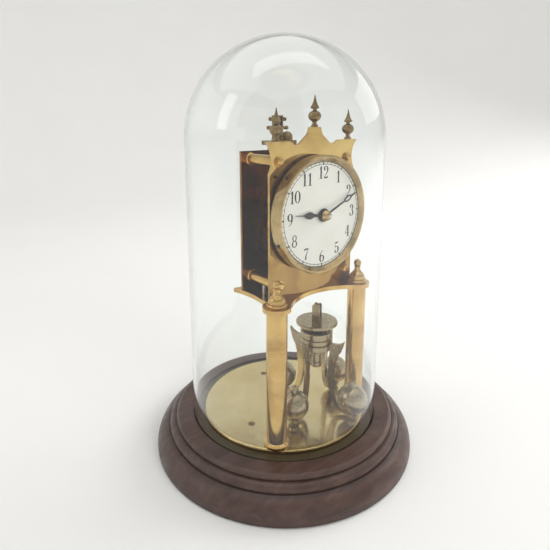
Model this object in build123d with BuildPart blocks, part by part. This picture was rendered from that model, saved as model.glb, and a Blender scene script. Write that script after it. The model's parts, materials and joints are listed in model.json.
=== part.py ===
from build123d import *
import math
import os

# Anniversary clock under a glass dome, in millimetres.
# +Z is up, the dial faces -Y, and the origin is the centre of the wooden base's underside.

# --- driving dimensions -------------------------------------------------------------------
BASE_RADIUS = 100.0  # foot of the turned wooden base
BASE_HEIGHT = 25.0  # wood outside the dome's groove
PLATE_SEAT = 24.0  # wood inside the dome's groove, where the brass plate lies
PLATE_RADIUS = 63.0
PLATE_THICKNESS = 3.0
PLATE_SCREW_CIRCLE = 41.3
PLATE_SCREW_ANGLE = 195.5
DOME_RADIUS = 71.5
DOME_WALL = 2.2
DOME_CENTRE = 234.0  # height of the centre of the rounded top
GROOVE_FLOOR = 22.0

COLUMN_X = 39.1
COLUMN_Y = -39.3
COLUMN_RADIUS = 7.0
ROD_RADIUS = 1.9
NUT_SEAT = 9.0  # roof of the counterbores under the base
PLATFORM_TOP = 128.0
PLATFORM_THICKNESS = 3.0
LOBE_RADIUS = 9.5
PLATFORM_BACK = 7.0

FRONT_Y = -32.0  # front face of the front plate
BACK_Y = 1.0  # back face of the back plate
FRAME_THICKNESS = 2.0
FRAME_HALF_WIDTH = 39.0
BACK_TOP = 226.5
PILLAR_X = 31.4
PILLAR_HEIGHTS = (138.0, 221.0)
PILLAR_RADIUS = 3.8
SCREW_RADIUS = 1.4
FINIAL_X = 33.0
FINIAL_SEATS = (233.7, 242.5)  # ears, centre peak
SPIGOT_RADIUS = 0.7

DIAL_CENTRE = 184.0
DRUM_RADIUS = 39.5
DRUM_FRONT = -42.2
DRUM_BACK = -33.6
BEZEL_RADIUS = 40.5
DIAL_RADIUS = 37.6
DIAL_FRONT = -40.2
MINUTE_ANGLE = 66.0  # clockwise from twelve: eleven minutes past
HOUR_ANGLE = 275.5  # clockwise from twelve: just past nine

BARREL_CENTRE = (10.5, 153.5)
BARREL_RADIUS = 18.5
CENTRE = (0.0, DIAL_CENTRE)

SUSPENSION_Y = 8.0  # the torsion axis hangs behind the back plate, on x = 0
PENDULUM_X = 14.8  # where the unhooked pendulum stands on the base plate
PENDULUM_Y = -21.6
PENDULUM_LIFT = 6.0  # how far it rises from there to the suspension
ARM_ANGLE = 15.5  # direction of the first pendulum arm
BALL_CIRCLE = 31.4
BALL_RADIUS = 11.0
BALL_HEIGHT = 42.4
DISC_RADIUS = 15.8
DISC_BOTTOM = 95.0
HOOK_PIN_HEIGHT = 108.4
CLEARANCE = 0.1

# teeth, in modules and in shares of the tooth pitch
ADDENDUM = 0.75
DEDENDUM = 1.05
ROOT_SHARE = 0.2
TIP_SHARE = 0.09

PLATE_TOP = PLATE_SEAT + PLATE_THICKNESS
PLATFORM_BOTTOM = PLATFORM_TOP - PLATFORM_THICKNESS
BACK_INNER = BACK_Y - FRAME_THICKNESS
FRONT_INNER = FRONT_Y + FRAME_THICKNESS
CARRY_ANGLE = math.degrees(math.atan2(SUSPENSION_Y - PENDULUM_Y, -PENDULUM_X))

os.makedirs("parts", exist_ok=True)


# --- helpers ------------------------------------------------------------------------------
def facing(y):
    """The upright plane at y whose local x is +X, local y is +Z, and which faces the front."""
    return Plane.XZ.offset(-y)


def save(piece, name):
    """Labels a finished piece and writes its STEP file."""
    piece.label = name
    export_step(piece, f"parts/{name}.step")


def polar(radius, degrees, centre=(0.0, 0.0)):
    """The point at that radius and angle round a centre."""
    angle = math.radians(degrees)
    return (centre[0] + radius * math.cos(angle), centre[1] + radius * math.sin(angle))


def turned(points, centre=(0.0, 0.0), rounds=()):
    """A piece turned about an upright axis from (radius, height) points, some corners rounded."""
    side = Plane((centre[0], centre[1], 0), x_dir=(1, 0, 0), z_dir=(0, -1, 0))
    with BuildPart() as piece:
        with BuildSketch(side) as profile:
            with BuildLine():
                Polyline(*points, close=True)
            make_face()
            for corner, radius in rounds:
                fillet(profile.vertices().sort_by_distance(corner)[0], radius)
        revolve(axis=Axis((centre[0], centre[1], 0), (0, 0, 1)))
    return piece.part


def turned_level(points, centre, rounds=()):
    """A piece turned about a level axis along Y from (radius, y) points, centred at (x, z)."""
    side = Plane((centre[0], 0, centre[1]), x_dir=(1, 0, 0), z_dir=(0, 0, 1))
    with BuildPart() as piece:
        with BuildSketch(side) as profile:
            with BuildLine():
                Polyline(*points, close=True)
            make_face()
            for corner, radius in rounds:
                fillet(profile.vertices().sort_by_distance(corner)[0], radius)
        revolve(axis=Axis((centre[0], 0, centre[1]), (0, 1, 0)))
    return piece.part


def rod(radius, y_back, y_front, centre):
    """A plain level rod along Y between two depths."""
    return turned_level([(0, y_back), (radius, y_back), (radius, y_front), (0, y_front)], centre)


def tooth_points(teeth, module, phase, centre):
    """The outline of a toothed wheel with straight-flanked teeth, one tooth at the phase angle."""
    pitch = 360 / teeth
    outer = module * (teeth / 2 + ADDENDUM)
    inner = module * (teeth / 2 - DEDENDUM)
    points = []
    for index in range(teeth):
        middle = phase + index * pitch
        points.append(polar(inner, middle - ROOT_SHARE * pitch, centre))
        points.append(polar(outer, middle - TIP_SHARE * pitch, centre))
        points.append(polar(outer, middle + TIP_SHARE * pitch, centre))
        points.append(polar(inner, middle + ROOT_SHARE * pitch, centre))
    return points


def gear(teeth, module, phase, centre, y_back, y_front, bore):
    """A plain toothed wheel between two depths, with a bore."""
    with BuildPart() as wheel:
        with BuildSketch(facing(y_back)):
            with BuildLine():
                Polyline(*tooth_points(teeth, module, phase, centre), close=True)
            make_face()
            if bore:
                with Locations(centre):
                    Circle(bore, mode=Mode.SUBTRACT)
        extrude(amount=y_back - y_front)
    return wheel.part


def spoked(teeth, module, phase, centre, y_back, y_front, bore, spokes=5):
    """A toothed wheel with a rim, a hub and straight spokes."""
    rim = module * (teeth / 2 - 1.05) - 1.6
    hub = bore + 2.2
    middle = (rim + hub) / 2
    with BuildPart() as wheel:
        with BuildSketch(facing(y_back)):
            with BuildLine():
                Polyline(*tooth_points(teeth, module, phase, centre), close=True)
            make_face()
            with Locations(centre):
                Circle(rim, mode=Mode.SUBTRACT)
                Circle(hub)
            for index in range(spokes):
                angle = 90 + index * 360 / spokes
                with Locations(Location((*polar(middle, angle, centre), 0), angle)):
                    Rectangle(rim - hub + 1.0, 1.6)
            with Locations(centre):
                Circle(bore, mode=Mode.SUBTRACT)
        extrude(amount=y_back - y_front)
    return wheel.part


def mesh_phase(phase, teeth, other_teeth, direction):
    """The phase that puts a second wheel, lying in that direction, in mesh with the first."""
    pitch = 360 / teeth
    offset = ((direction - phase) / pitch) % 1
    return direction + 180 + (0.5 + offset) * 360 / other_teeth


def direction_between(start, end):
    """The angle of the line from one centre to another."""
    return math.degrees(math.atan2(end[1] - start[1], end[0] - start[0]))


def third_corner(start, end, from_start, from_end, side):
    """The point at given distances from two centres, on the left (1) or right (-1) of their line."""
    span = math.dist(start, end)
    along = (from_start**2 - from_end**2 + span**2) / (2 * span)
    across = side * math.sqrt(from_start**2 - along**2)
    ux = (end[0] - start[0]) / span
    uz = (end[1] - start[1]) / span
    return (start[0] + along * ux - across * uz, start[1] + along * uz + across * ux)


# --- base and dome ------------------------------------------------------------------------
column_places = [(-COLUMN_X, COLUMN_Y), (COLUMN_X, COLUMN_Y)]
plate_screw_places = [polar(PLATE_SCREW_CIRCLE, PLATE_SCREW_ANGLE + 120 * n) for n in range(3)]
groove_inner = DOME_RADIUS - DOME_WALL - 0.5
groove_outer = DOME_RADIUS + 0.5

with BuildPart() as wooden_base:
    with BuildSketch(Plane.XZ) as base_profile:
        with BuildLine():
            Line((0, 0), (BASE_RADIUS - 1.0, 0))
            Line((BASE_RADIUS - 1.0, 0), (BASE_RADIUS, 1.0))
            Line((BASE_RADIUS, 1.0), (BASE_RADIUS, 3.4))
            ThreePointArc((BASE_RADIUS, 3.4), (97.6, 10.6), (90.9, 16.0))
            Line((90.9, 16.0), (90.1, 16.0))
            Line((90.1, 16.0), (90.1, 17.4))
            ThreePointArc((90.1, 17.4), (88.7, 20.2), (85.7, 21.4))
            Line((85.7, 21.4), (85.0, 21.4))
            Line((85.0, 21.4), (85.0, BASE_HEIGHT - 3.0))
            ThreePointArc((85.0, BASE_HEIGHT - 3.0), (84.12, BASE_HEIGHT - 0.88), (82.0, BASE_HEIGHT))
            Line((82.0, BASE_HEIGHT), (groove_outer, BASE_HEIGHT))
            Line((groove_outer, BASE_HEIGHT), (groove_outer, GROOVE_FLOOR))
            Line((groove_outer, GROOVE_FLOOR), (groove_inner, GROOVE_FLOOR))
            Line((groove_inner, GROOVE_FLOOR), (groove_inner, PLATE_SEAT))
            Line((groove_inner, PLATE_SEAT), (0, PLATE_SEAT))
            Line((0, PLATE_SEAT), (0, 0))
        make_face()
    revolve(axis=Axis.Z)
    with Locations(*[(x, y, 0) for x, y in column_places]):
        Cylinder(8.0, NUT_SEAT, align=(Align.CENTER, Align.CENTER, Align.MIN), mode=Mode.SUBTRACT)
        Cylinder(
            ROD_RADIUS + CLEARANCE,
            BASE_HEIGHT,
            align=(Align.CENTER, Align.CENTER, Align.MIN),
            mode=Mode.SUBTRACT,
        )
    with Locations(*[(x, y, PLATE_SEAT) for x, y in plate_screw_places]):
        Cylinder(1.4, 10.0, align=(Align.CENTER, Align.CENTER, Align.MAX), mode=Mode.SUBTRACT)
save(wooden_base.part, "wooden_base")

with BuildPart() as base_plate:
    with BuildSketch(Plane.XY.offset(PLATE_SEAT)):
        Circle(PLATE_RADIUS)
        with Locations(*column_places):
            Circle(ROD_RADIUS + CLEARANCE, mode=Mode.SUBTRACT)
    extrude(amount=PLATE_THICKNESS)
    fillet(base_plate.edges().group_by(Axis.Z)[-1].sort_by(SortBy.RADIUS)[-1], 1.2)
    with Locations(*[(x, y, PLATE_TOP) for x, y in plate_screw_places]):
        CounterSinkHole(1.5, 2.7)
save(base_plate.part, "base_plate")

with BuildPart() as base_plate_screws:
    for x, y in plate_screw_places:
        head = turned(
            [
                (0, 14.5),
                (1.3, 14.5),
                (1.3, PLATE_TOP - 1.3),
                (2.6, PLATE_TOP - 0.05),
                (0, PLATE_TOP - 0.05),
            ],
            (x, y),
        )
        add(head)
        with Locations(Location((x, y, PLATE_TOP), 35)):
            Box(6, 0.6, 1.2, mode=Mode.SUBTRACT)
save(base_plate_screws.part, "base_plate_screws")

dome_inner = DOME_RADIUS - DOME_WALL
with BuildPart() as glass_dome:
    with BuildSketch(Plane.XZ):
        with BuildLine():
            Line((dome_inner, GROOVE_FLOOR), (DOME_RADIUS, GROOVE_FLOOR))
            Line((DOME_RADIUS, GROOVE_FLOOR), (DOME_RADIUS, DOME_CENTRE))
            RadiusArc((DOME_RADIUS, DOME_CENTRE), (0, DOME_CENTRE + DOME_RADIUS), -DOME_RADIUS)
            Line((0, DOME_CENTRE + DOME_RADIUS), (0, DOME_CENTRE + dome_inner))
            RadiusArc((0, DOME_CENTRE + dome_inner), (dome_inner, DOME_CENTRE), dome_inner)
            Line((dome_inner, DOME_CENTRE), (dome_inner, GROOVE_FLOOR))
        make_face()
    revolve(axis=Axis.Z)
save(glass_dome.part, "glass_dome")

# --- columns and platform -----------------------------------------------------------------
FINIAL_BASE = PLATFORM_TOP
rod_top = FINIAL_BASE + 6.0
for side, (x, y) in zip(("left", "right"), column_places):
    bore = ROD_RADIUS + CLEARANCE
    column = turned(
        [
            (bore, PLATE_TOP),
            (8.8, PLATE_TOP),
            (8.8, PLATE_TOP + 2.2),
            (COLUMN_RADIUS, PLATE_TOP + 3.6),
            (COLUMN_RADIUS, PLATFORM_BOTTOM),
            (bore, PLATFORM_BOTTOM),
        ],
        (x, y),
        rounds=[((8.8, PLATE_TOP + 2.2), 0.9)],
    )
    save(column, f"column_{side}")
    with BuildPart() as column_finial:
        axis_plane = Plane((x, y, FINIAL_BASE), x_dir=(1, 0, 0), z_dir=(0, -1, 0))
        with BuildSketch(axis_plane):
            with BuildLine():
                Line((0, 0), (6.6, 0))
                ThreePointArc((6.6, 0), (7.0, 1.1), (6.6, 2.2))
                Line((6.6, 2.2), (5.9, 2.4))
                ThreePointArc((5.9, 2.4), (6.2, 3.0), (5.7, 3.6))
                Spline((5.7, 3.6), (4.1, 7.0), (2.0, 11.2), tangents=((0, 1), (0, 1)))
                ThreePointArc((2.0, 11.2), (2.5, 11.7), (1.8, 12.2))
                ThreePointArc((1.8, 12.2), (2.75, 15.0), (0.5, 17.2))
                Line((0.5, 17.2), (0, 17.9))
                Line((0, 17.9), (0, 0))
            make_face()
        revolve(axis=Axis((x, y, 0), (0, 0, 1)))
        with Locations((x, y, FINIAL_BASE)):
            Cylinder(
                ROD_RADIUS, 6.0, align=(Align.CENTER, Align.CENTER, Align.MIN), mode=Mode.SUBTRACT
            )
    save(column_finial.part, f"column_finial_{side}")

with BuildPart() as tie_rods:
    with Locations(*[(x, y, 3.0) for x, y in column_places]):
        Cylinder(ROD_RADIUS, rod_top - 3.0, align=(Align.CENTER, Align.CENTER, Align.MIN))
save(tie_rods.part, "tie_rods")

with BuildPart() as column_nuts:
    with BuildSketch(Plane.XY.offset(NUT_SEAT - 1.2)):
        with Locations(*column_places):
            Circle(6.5)
            Circle(ROD_RADIUS, mode=Mode.SUBTRACT)
    extrude(amount=1.2)
    with BuildSketch(Plane.XY.offset(NUT_SEAT - 4.4)):
        with Locations(*column_places):
            RegularPolygon(4.6, 6)
            Circle(ROD_RADIUS, mode=Mode.SUBTRACT)
    extrude(amount=3.2)
save(column_nuts.part, "column_nuts")

front_hollow = 47.3  # radius of the platform's hollow front edge
side_hollow = 68.0
back_hollow = 217.0
with BuildPart() as platform:
    with BuildSketch(Plane.XY.offset(PLATFORM_BOTTOM)):
        Polygon((-39.1, -46), (39.1, -46), (41.5, PLATFORM_BACK), (-41.5, PLATFORM_BACK), align=None)
        with Locations((0, -32.6 - front_hollow)):
            Circle(front_hollow, mode=Mode.SUBTRACT)
        with Locations((38.8 + side_hollow, -12), (-38.8 - side_hollow, -12)):
            Circle(side_hollow, mode=Mode.SUBTRACT)
        with Locations((0, PLATFORM_BACK - 4.0 + back_hollow)):
            Circle(back_hollow, mode=Mode.SUBTRACT)
        with Locations(*column_places):
            Circle(LOBE_RADIUS)
            Circle(ROD_RADIUS + CLEARANCE, mode=Mode.SUBTRACT)
        with Locations((-PILLAR_X, -16), (PILLAR_X, -16)):
            Circle(SCREW_RADIUS + CLEARANCE, mode=Mode.SUBTRACT)
    extrude(amount=PLATFORM_THICKNESS)
save(platform.part, "platform")

with BuildPart() as platform_screws:
    for x in (-PILLAR_X, PILLAR_X):
        add(
            turned(
                [
                    (0, PLATFORM_BOTTOM - 3.4),
                    (2.6, PLATFORM_BOTTOM - 3.4),
                    (3.4, PLATFORM_BOTTOM - 2.6),
                    (3.4, PLATFORM_BOTTOM),
                    (SCREW_RADIUS, PLATFORM_BOTTOM),
                    (SCREW_RADIUS, PILLAR_HEIGHTS[0]),
                    (0, PILLAR_HEIGHTS[0]),
                ],
                (x, -16),
            )
        )
        with Locations((x, -16, PLATFORM_BOTTOM - 3.4)):
            Box(8, 0.8, 2.4, mode=Mode.SUBTRACT)
save(platform_screws.part, "platform_screws")

# --- movement frame -----------------------------------------------------------------------
anchor_height = 216.6
second_distance = 0.54 * (76 + 10) / 2
centre_distance = 0.48 * (60 + 10) / 2
fourth_distance = 0.44 * (60 + 12) / 2
escape_distance = 0.44 * (48 + 15) / 2
SECOND = third_corner(BARREL_CENTRE, CENTRE, second_distance, centre_distance, 1)
FOURTH = polar(fourth_distance, 45, CENTRE)
ESCAPE = (0.0, FOURTH[1] + math.sqrt(escape_distance**2 - FOURTH[0] ** 2))
ANCHOR = (0.0, anchor_height)
MINUTE_STUD = polar(12.0, -60, CENTRE)
pillar_places = [(sign * PILLAR_X, z) for sign in (-1, 1) for z in PILLAR_HEIGHTS]
bracket_screw_places = [(-9.0, 215.0), (9.0, 215.0)]
pivots = (SECOND, FOURTH, ESCAPE)
PIVOT_RADIUS = 0.9
JOURNAL_RADIUS = 2.0
RATCHET_BACK = BACK_Y + 2.0
CLICK_PIVOT = (BARREL_CENTRE[0] + 11.0, BARREL_CENTRE[1] + 6.0)
BRACKET_THICKNESS = 3.0

with BuildPart() as front_plate:
    with BuildSketch(facing(FRONT_INNER)):
        with BuildLine():
            half = [
                Line((0, PLATFORM_TOP), (FRAME_HALF_WIDTH, PLATFORM_TOP)),
                Line((FRAME_HALF_WIDTH, PLATFORM_TOP), (FRAME_HALF_WIDTH, 214.0)),
                ThreePointArc((FRAME_HALF_WIDTH, 214.0), (36.7, 222.8), (42.0, FINIAL_SEATS[0])),
                Line((42.0, FINIAL_SEATS[0]), (23.5, FINIAL_SEATS[0])),
                Spline(
                    (23.5, FINIAL_SEATS[0]), (17.0, 230.9), (8.6, 236.2), (5.2, FINIAL_SEATS[1]),
                    tangents=((-1, -0.15), (-0.2, 1)),
                ),
                Line((5.2, FINIAL_SEATS[1]), (0, FINIAL_SEATS[1])),
            ]
            mirror(half, about=Plane.YZ)
        make_face()
        with Locations(*pillar_places):
            Circle(SCREW_RADIUS + CLEARANCE, mode=Mode.SUBTRACT)
        with Locations(*pivots, ANCHOR):
            Circle(PIVOT_RADIUS + 0.05, mode=Mode.SUBTRACT)
        with Locations(CENTRE, BARREL_CENTRE):
            Circle(JOURNAL_RADIUS + 0.05, mode=Mode.SUBTRACT)
    extrude(amount=FRAME_THICKNESS)
    # the stud on which the minute wheel turns is riveted into this plate
    with BuildSketch(facing(FRONT_Y)):
        with Locations(MINUTE_STUD):
            Circle(1.0)
    extrude(amount=5.6)
    with Locations(*[(x, (FRONT_Y + FRONT_INNER) / 2, FINIAL_SEATS[0]) for x in (-FINIAL_X, FINIAL_X)]):
        Cylinder(SPIGOT_RADIUS, 5.0, align=(Align.CENTER, Align.CENTER, Align.MAX), mode=Mode.SUBTRACT)
    with Locations((0, (FRONT_Y + FRONT_INNER) / 2, FINIAL_SEATS[1])):
        Cylinder(SPIGOT_RADIUS, 5.0, align=(Align.CENTER, Align.CENTER, Align.MAX), mode=Mode.SUBTRACT)
save(front_plate.part, "front_plate")

with BuildPart() as back_plate:
    with BuildSketch(facing(BACK_Y)):
        with Locations((0, (PLATFORM_TOP + BACK_TOP) / 2)):
            Rectangle(2 * FRAME_HALF_WIDTH, BACK_TOP - PLATFORM_TOP)
        with Locations(*pillar_places, *bracket_screw_places):
            Circle(SCREW_RADIUS + CLEARANCE, mode=Mode.SUBTRACT)
        with Locations(*pivots, ANCHOR, CENTRE):
            Circle(PIVOT_RADIUS + 0.05, mode=Mode.SUBTRACT)
        with Locations(BARREL_CENTRE):
            Circle(JOURNAL_RADIUS + 0.05, mode=Mode.SUBTRACT)
    extrude(amount=FRAME_THICKNESS)
    # the headed stud on which the click turns is riveted into this plate
    add(rod(0.9, RATCHET_BACK + 0.1, BACK_Y, CLICK_PIVOT))
    add(rod(1.8, RATCHET_BACK + 0.9, RATCHET_BACK + 0.1, CLICK_PIVOT))
save(back_plate.part, "back_plate")

with BuildPart() as plate_pillars:
    for place in pillar_places:
        add(
            turned_level(
                [
                    (0, BACK_INNER),
                    (PILLAR_RADIUS + 0.6, BACK_INNER),
                    (PILLAR_RADIUS + 0.6, BACK_INNER - 1.4),
                    (PILLAR_RADIUS, BACK_INNER - 2.0),
                    (PILLAR_RADIUS, FRONT_INNER + 2.0),
                    (PILLAR_RADIUS + 0.6, FRONT_INNER + 1.4),
                    (PILLAR_RADIUS + 0.6, FRONT_INNER),
                    (0, FRONT_INNER),
                ],
                place,
            )
        )
        with Locations((place[0], (BACK_INNER + FRONT_INNER) / 2, place[1])):
            Cylinder(
                SCREW_RADIUS, BACK_INNER - FRONT_INNER, rotation=(90, 0, 0), mode=Mode.SUBTRACT
            )
    with Locations((-PILLAR_X, -16, PILLAR_HEIGHTS[0]), (PILLAR_X, -16, PILLAR_HEIGHTS[0])):
        Cylinder(SCREW_RADIUS, 6.0, align=(Align.CENTER, Align.CENTER, Align.MAX), mode=Mode.SUBTRACT)
save(plate_pillars.part, "plate_pillars")

with BuildPart() as frame_screws:
    seats = [(place, face, way) for place in pillar_places for face, way in ((FRONT_Y, -1), (BACK_Y, 1))]
    seats += [(place, BACK_Y + BRACKET_THICKNESS, 1) for place in bracket_screw_places]
    for place, face, way in seats:
        add(
            turned_level(
                [
                    (0, face - way * 5.0),
                    (SCREW_RADIUS, face - way * 5.0),
                    (SCREW_RADIUS, face),
                    (3.6, face),
                    (3.6, face + way * 0.9),
                    (2.7, face + way * 0.9),
                    (2.7, face + way * 3.2),
                    (0, face + way * 3.2),
                ],
                place,
                rounds=[((2.7, face + way * 3.2), 1.6)],
            )
        )
save(frame_screws.part, "frame_screws")

crown_seats = {
    "left": (-FINIAL_X, FINIAL_SEATS[0]),
    "centre": (0.0, FINIAL_SEATS[1]),
    "right": (FINIAL_X, FINIAL_SEATS[0]),
}
for name, (x, seat) in crown_seats.items():
    y = (FRONT_Y + FRONT_INNER) / 2
    with BuildPart() as crown_finial:
        with BuildSketch(Plane((x, y, seat), x_dir=(1, 0, 0), z_dir=(0, -1, 0))):
            with BuildLine():
                Line((0, -4.5), (SPIGOT_RADIUS - 0.05, -4.5))
                Line((SPIGOT_RADIUS - 0.05, -4.5), (SPIGOT_RADIUS - 0.05, 0))
                Line((SPIGOT_RADIUS - 0.05, 0), (2.2, 0))
                ThreePointArc((2.2, 0), (2.6, 0.6), (2.2, 1.2))
                Spline((2.2, 1.2), (1.4, 2.6), (2.2, 4.0), tangents=((-0.6, 1), (1, 0.9)))
                ThreePointArc((2.2, 4.0), (4.3, 7.3), (2.0, 10.4))
                ThreePointArc((2.0, 10.4), (1.3, 11.1), (1.6, 12.0))
                ThreePointArc((1.6, 12.0), (2.9, 12.6), (2.6, 13.4))
                Spline((2.6, 13.4), (1.2, 16.4), (0.3, 20.6), tangents=((-0.8, 1), (-0.1, 1)))
                Line((0.3, 20.6), (0, 21.0))
                Line((0, 21.0), (0, -4.5))
            make_face()
        revolve(axis=Axis((x, y, 0), (0, 0, 1)))
    save(crown_finial.part, f"crown_finial_{name}")

# --- dial and hands -----------------------------------------------------------------------
SEAT_FRONT = DIAL_FRONT + 1.0
drum_feet = [polar(30.0, angle, CENTRE) for angle in (30, 150, 270)]
drum_screw_angles = (24, 138, 204, 318)
DRUM_SCREW_Y = -38.0
SKIRT_BACK = -35.0
with BuildPart() as dial_drum:
    add(
        turned_level(
            [
                (24.0, DRUM_BACK),
                (DRUM_RADIUS, DRUM_BACK),
                (DRUM_RADIUS, DRUM_FRONT),
                (DRUM_RADIUS - 1.2, DRUM_FRONT),
                (DRUM_RADIUS - 1.2, SEAT_FRONT),
                (DRUM_RADIUS - 3.4, SEAT_FRONT),
                (DRUM_RADIUS - 3.4, SEAT_FRONT + 1.0),
                (DRUM_RADIUS - 1.2, SEAT_FRONT + 1.0),
                (DRUM_RADIUS - 1.2, DRUM_BACK - 1.0),
                (24.0, DRUM_BACK - 1.0),
            ],
            CENTRE,
        )
    )
    with BuildSketch(facing(FRONT_Y)):
        with Locations(*drum_feet):
            Circle(2.6)
    extrude(amount=FRONT_Y - DRUM_BACK)
    for angle in drum_screw_angles:
        x, z = polar(DRUM_RADIUS, angle, CENTRE)
        with Locations(Location((x, DRUM_SCREW_Y, z), (0, 90 - angle, 0))):
            Cylinder(0.7, 6.0, mode=Mode.SUBTRACT)
save(dial_drum.part, "dial_drum")

with BuildPart() as drum_screws:
    for angle in drum_screw_angles:
        x, z = polar(BEZEL_RADIUS, angle, CENTRE)
        with Locations(Location((x, DRUM_SCREW_Y, z), (0, 90 - angle, 0))):
            Cylinder(0.7, 2.0, align=(Align.CENTER, Align.CENTER, Align.MAX))
            Cylinder(1.2, 0.8, align=(Align.CENTER, Align.CENTER, Align.MIN))
save(drum_screws.part, "drum_screws")

bezel_ring = turned_level(
    [
        (DRUM_RADIUS - 1.25, DRUM_FRONT),
        (DRUM_RADIUS + 0.05, DRUM_FRONT),
        (DRUM_RADIUS + 0.05, SKIRT_BACK),
        (BEZEL_RADIUS, SKIRT_BACK),
        (BEZEL_RADIUS, DRUM_FRONT - 0.6),
        (BEZEL_RADIUS - 0.9, DRUM_FRONT - 1.2),
        (BEZEL_RADIUS - 2.0, DRUM_FRONT - 1.2),
        (BEZEL_RADIUS - 4.4, DIAL_FRONT - 0.5),
        (BEZEL_RADIUS - 4.4, DIAL_FRONT - 0.05),
        (DRUM_RADIUS - 1.25, DIAL_FRONT - 0.05),
    ],
    CENTRE,
    rounds=[((BEZEL_RADIUS - 0.9, DRUM_FRONT - 1.2), 0.5)],
)
with BuildPart() as bezel:
    add(bezel_ring)
    for angle in drum_screw_angles:
        x, z = polar(BEZEL_RADIUS, angle, CENTRE)
        with Locations(Location((x, DRUM_SCREW_Y, z), (0, 90 - angle, 0))):
            Cylinder(0.75, 4.0, mode=Mode.SUBTRACT)
save(bezel.part, "bezel")

with BuildPart() as dial:
    with BuildSketch(facing(SEAT_FRONT)):
        with Locations(CENTRE):
            Circle(DIAL_RADIUS)
            Circle(3.2, mode=Mode.SUBTRACT)
    extrude(amount=SEAT_FRONT - DIAL_FRONT)
save(dial.part, "dial")

HOUR_BACK = -41.3
HOUR_FRONT = -41.9
MINUTE_BACK = -43.0
MINUTE_FRONT = -43.6
ARBOR_RADIUS = 1.2
CANNON_RADIUS = 1.9
PIPE_RADIUS = 2.9


def hand_plane(back, clock_angle):
    """The plane of a hand: local x points along the hand, which turns clockwise from twelve."""
    angle = math.radians(90 - clock_angle)
    return Plane((0, back, DIAL_CENTRE), x_dir=(math.cos(angle), 0, math.sin(angle)), z_dir=(0, -1, 0))


with BuildPart() as hour_hand:
    with BuildSketch(hand_plane(HOUR_BACK, HOUR_ANGLE)):
        with BuildLine():
            upper = Spline(
                (2.0, 1.5), (9.0, 1.1), (12.8, 2.4), (17.0, 1.0), (25.4, 0.15),
                tangents=((1, -0.1), (1, -0.05)),
            )
            mirror(upper, about=Plane.XZ)
            Line((2.0, 1.5), (2.0, -1.5))
            Line((25.4, 0.15), (25.4, -0.15))
        make_face()
        Circle(4.6)
        Circle(PIPE_RADIUS, mode=Mode.SUBTRACT)
    extrude(amount=HOUR_BACK - HOUR_FRONT)
save(hour_hand.part, "hour_hand")

with BuildPart() as minute_hand:
    with BuildSketch(hand_plane(MINUTE_BACK, MINUTE_ANGLE)):
        with BuildLine():
            Polyline((2.0, 0.7), (20.5, 0.45), (20.5, -0.45), (2.0, -0.7), close=True)
        make_face()
        with Locations((23.5, 0)):
            Ellipse(4.0, 1.9)
        with BuildLine():
            Polyline((26.5, 0.75), (34.4, 0.1), (34.4, -0.1), (26.5, -0.75), close=True)
        make_face()
        with Locations((23.5, 0)):
            Ellipse(2.9, 1.05, mode=Mode.SUBTRACT)
        Circle(3.0)
        Circle(CANNON_RADIUS, mode=Mode.SUBTRACT)
    extrude(amount=MINUTE_BACK - MINUTE_FRONT)
save(minute_hand.part, "minute_hand")

hand_nut = turned_level(
    [(ARBOR_RADIUS, MINUTE_FRONT), (3.7, MINUTE_FRONT), (3.7, -44.3), (2.6, -46.4), (ARBOR_RADIUS, -47.4)],
    CENTRE,
    rounds=[((2.6, -46.4), 1.0)],
)
save(hand_nut, "hand_nut")

# --- motion work under the dial -----------------------------------------------------------
stud_direction = direction_between(CENTRE, MINUTE_STUD)
minute_phase = mesh_phase(90, 12, 36, stud_direction)
hour_phase = mesh_phase(0, 10, 40, stud_direction + 180)

with BuildPart() as cannon_pinion:
    add(gear(12, 0.5, 90, CENTRE, -33.0, -35.0, ARBOR_RADIUS))
    add(
        turned_level(
            [
                (ARBOR_RADIUS, -35.0),
                (CANNON_RADIUS, -35.0),
                (CANNON_RADIUS, MINUTE_FRONT),
                (ARBOR_RADIUS, MINUTE_FRONT),
            ],
            CENTRE,
        )
    )
save(cannon_pinion.part, "cannon_pinion")

with BuildPart() as minute_wheel:
    add(gear(36, 0.5, minute_phase, MINUTE_STUD, -33.3, -34.7, 1.05))
    add(gear(10, 0.48, 0, MINUTE_STUD, -34.7, -37.0, 1.05))
save(minute_wheel.part, "minute_wheel")

with BuildPart() as hour_wheel:
    add(spoked(40, 0.48, hour_phase, CENTRE, -35.4, -36.8, CANNON_RADIUS + 0.08, 4))
    add(
        turned_level(
            [
                (CANNON_RADIUS + 0.08, -36.8),
                (PIPE_RADIUS, -36.8),
                (PIPE_RADIUS, HOUR_FRONT),
                (CANNON_RADIUS + 0.08, HOUR_FRONT),
            ],
            CENTRE,
        )
    )
save(hour_wheel.part, "hour_wheel")

# --- going train --------------------------------------------------------------------------
# Each wheel's phase follows from the wheel that drives it, so all teeth are in mesh at rest.
barrel_phase = 0.0
second_pinion_phase = mesh_phase(barrel_phase, 76, 10, direction_between(BARREL_CENTRE, SECOND))
second_phase = 0.0
centre_pinion_phase = mesh_phase(second_phase, 60, 10, direction_between(SECOND, CENTRE))
centre_phase = 0.0
fourth_pinion_phase = mesh_phase(centre_phase, 60, 12, direction_between(CENTRE, FOURTH))
fourth_phase = 0.0
escape_pinion_phase = mesh_phase(fourth_phase, 48, 15, direction_between(FOURTH, ESCAPE))
BARREL_LAYER = (-23.6, -26.0)
SECOND_LAYER = (-4.4, -6.0)
CENTRE_LAYER = (-27.4, -28.8)
FOURTH_LAYER = (-18.6, -20.0)
ESCAPE_LAYER = (-8.6, -10.0)
BARREL_BACK = -8.0
COVER_THICKNESS = 1.2


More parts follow.
